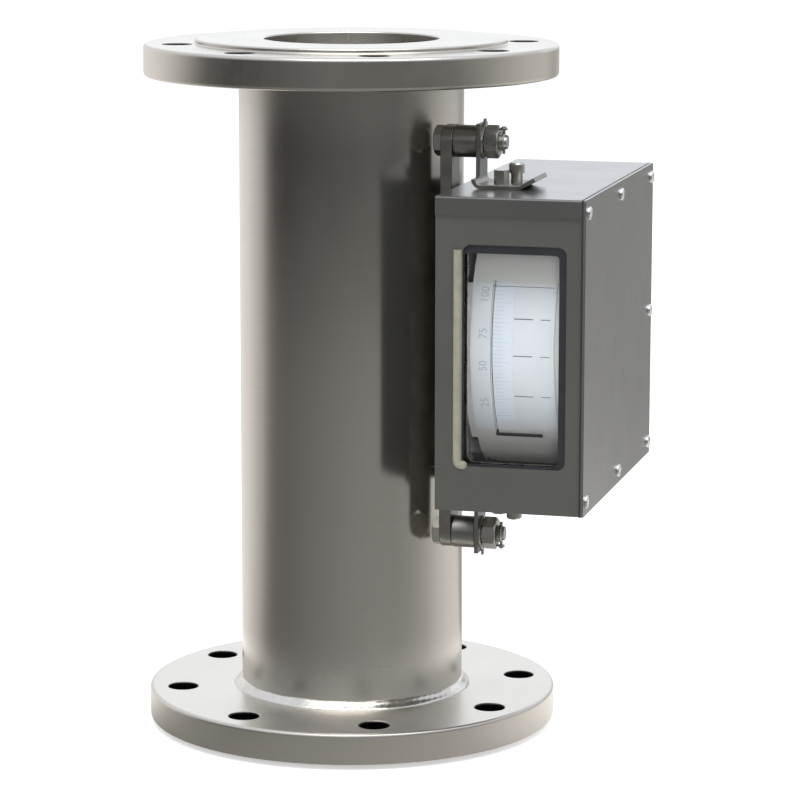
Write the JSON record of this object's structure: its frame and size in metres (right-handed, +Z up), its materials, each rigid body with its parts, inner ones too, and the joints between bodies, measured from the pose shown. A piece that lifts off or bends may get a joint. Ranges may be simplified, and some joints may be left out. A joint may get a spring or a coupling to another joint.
{
  "type": "metal tube rotameter",
  "caption": "Flanged steel variable-area flow meter: a magnetic float in a metal tube swings a pointer up a curved dial behind a window in a side case.",
  "frame": {"origin": "centre of the inlet flange's raised face", "axes": "+Z up along the tube to the outlet, +X from the tube to the case, the window faces -Y"},
  "size_m": [0.2936, 0.25, 0.42],
  "materials": {
    "flange_steel": "satin turned stainless steel",
    "tube_steel": "polished stainless steel",
    "weld_steel": "cleaned weld bead",
    "inner_steel": "turned stainless steel",
    "plated_steel": "zinc plated",
    "bracket_steel": "bare stainless sheet",
    "case_paint": "satin grey paint",
    "black_rubber": "matt",
    "cream_silicone": "matt",
    "window_glass": "clear",
    "dial_paint": "matt grey paint",
    "scale_white": "satin white",
    "pointer_black": "matt black",
    "aluminium": "milled",
    "brass": "turned",
    "magnet_ferrite": "dark ferrite",
    "ptfe": "white"
  },
  "bodies": {
    "meter": {"inlet_flange": "flange_steel", "outlet_flange": "flange_steel", "metering_tube": "tube_steel", "tube_welds": "weld_steel", "metering_cone": "inner_steel", "lower_guide": "inner_steel", "upper_guide": "inner_steel", "lower_bush": "ptfe", "upper_bush": "ptfe", "retaining_rings": "inner_steel", "outlet_stop": "inner_steel", "stop_buffer": "black_rubber", "mounting_plate": "bracket_steel", "plate_welds": "weld_steel", "bosses": "bracket_steel", "upper_bracket": "bracket_steel", "lower_bracket": "bracket_steel", "bracket_bolts": "plated_steel", "tab_washers": "plated_steel", "bracket_nuts": "plated_steel", "cotters": "plated_steel", "foot_nuts": "plated_steel", "foot_screws": "plated_steel", "case_shell": "case_paint", "front_panel": "case_paint", "side_cover": "case_paint", "cover_gasket": "black_rubber", "cover_screws": "plated_steel", "window_gasket": "black_rubber", "window_glass": "window_glass", "window_clamp": "plated_steel", "clamp_nuts": "plated_steel", "window_seal": "cream_silicone", "movement_plate": "aluminium", "standoffs": "brass", "standoff_screws": "plated_steel", "bridge_plate": "aluminium", "pillars": "brass", "pillar_screws": "plated_steel", "inner_bearing": "brass", "outer_bearing": "brass", "damping_magnet": "magnet_ferrite", "dial_plate": "dial_paint", "scale_plate": "scale_white", "dial_posts": "aluminium", "dial_screws": "plated_steel"},
    "float": {"float_rod": "inner_steel", "rod_buffer": "black_rubber", "float_body": "inner_steel", "float_magnet": "magnet_ferrite", "float_cap": "inner_steel", "float_nut": "plated_steel"},
    "pointer": {"spindle": "plated_steel", "pointer_hub": "brass", "pointer_arm": "pointer_black", "counterweight": "brass", "damping_disc": "aluminium", "magnet_carrier": "brass", "follower_magnet": "magnet_ferrite"}
  },
  "joints": [
    {"name": "float_lift", "type": "slide", "parent": "meter", "child": "float", "axis": [0, 0, 1], "range_m": [0, 0.06]},
    {"name": "pointer_swing", "type": "hinge", "parent": "meter", "child": "pointer", "pos_m": [0.1, 0, 0.249], "axis": [-1, 0, 0], "range_deg": [0, 62]}
  ],
  "couplings": [
    {"joint": "pointer_swing", "follows": "float_lift", "rad_per_m": 18.03}
  ]
}
